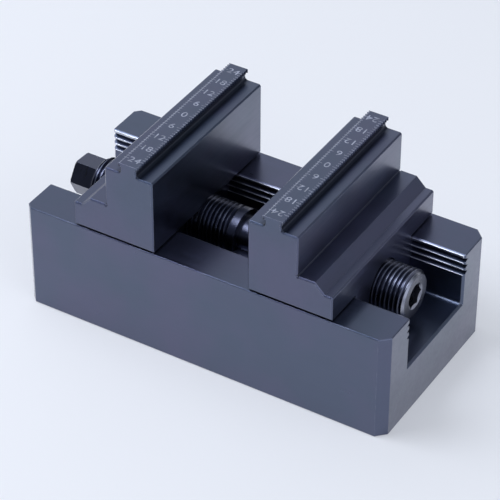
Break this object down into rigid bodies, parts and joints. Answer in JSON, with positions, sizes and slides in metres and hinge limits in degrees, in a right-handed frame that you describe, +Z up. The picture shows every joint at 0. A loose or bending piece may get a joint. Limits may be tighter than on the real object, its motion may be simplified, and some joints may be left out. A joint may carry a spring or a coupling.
{
  "type": "self-centring machine vise",
  "caption": "Small self-centring machine vise: two screw-driven jaws with toothed lips slide in a grooved steel base.",
  "frame": {"origin": "middle of the base's underside, on the surface that the vise stands on", "axes": "+X along the vise and the spindle towards the end with the hexagon socket, +Y across the vise towards the rear wall of the channel, +Z up"},
  "size_m": [0.1105, 0.054, 0.0577],
  "materials": {
    "blackened_steel": "blackened, satin, milled and ground steel",
    "jaw_steel": "blackened, satin, ground hardened steel",
    "spindle_steel": "blackened, turned and threaded steel with bright crests",
    "bearing_steel": "blackened, milled steel",
    "screw_steel": "black oxide screw steel",
    "scale_marking": "pale laser-marked graduation"
  },
  "bodies": {
    "base": {"base": "blackened_steel", "centre_bearing": "bearing_steel", "bearing_screw_front": "screw_steel", "bearing_screw_rear": "screw_steel"},
    "spindle": {"spindle": "spindle_steel"},
    "jaw_right": {"jaw_right": "jaw_steel"},
    "jaw_left": {"jaw_left": "jaw_steel"}
  },
  "joints": [
    {"name": "jaw_right_slide", "type": "slide", "parent": "base", "child": "jaw_right", "axis": [1, 0, 0], "range_m": [-0.014, 0.01575]},
    {"name": "jaw_left_slide", "type": "slide", "parent": "base", "child": "jaw_left", "axis": [-1, 0, 0], "range_m": [-0.01401, 0.01576]},
    {"name": "spindle_turn", "type": "hinge", "parent": "base", "child": "spindle", "pos_m": [0, 0, 0.0262], "axis": [1, 0, 0], "range_deg": [-4033, 4537]}
  ],
  "couplings": [
    {"joint": "jaw_left_slide", "follows": "jaw_right_slide", "ratio": 1},
    {"joint": "spindle_turn", "follows": "jaw_right_slide", "rad_per_m": 5026.5}
  ]
}
